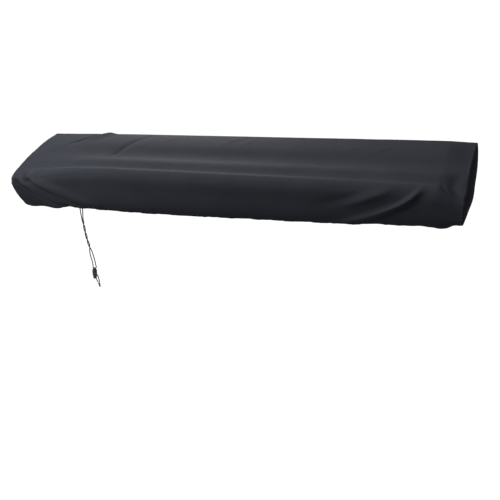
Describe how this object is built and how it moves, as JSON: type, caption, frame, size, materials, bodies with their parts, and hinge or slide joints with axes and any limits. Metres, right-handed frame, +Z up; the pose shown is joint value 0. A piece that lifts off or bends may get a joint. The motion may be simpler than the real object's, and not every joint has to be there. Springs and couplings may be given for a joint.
{
  "type": "fitted piano cover",
  "caption": "Fitted cloth dust cover for a slim full-length digital piano, open below, with shaped ends and a drawcord hem closed by a cord lock.",
  "frame": {"origin": "underside of the cloth at the middle of the cover's top, where the covered instrument carries it", "axes": "+X along the cover to the player's right, +Y to the back, +Z up"},
  "size_m": [1.3813, 0.2653, 0.4494],
  "materials": {
    "cover_cloth": "matte charcoal weave with a soft sheen",
    "drawcord": "black braided cord",
    "lock_plastic": "satin black"
  },
  "bodies": {
    "root": {"body_panel": "cover_cloth", "end_panel_left": "cover_cloth", "end_panel_right": "cover_cloth", "cord_strand_left": "drawcord", "cord_strand_right": "drawcord", "cord_knot": "drawcord", "cord_lock_barrel": "lock_plastic", "cord_lock_button": "lock_plastic"}
  },
  "joints": []
}
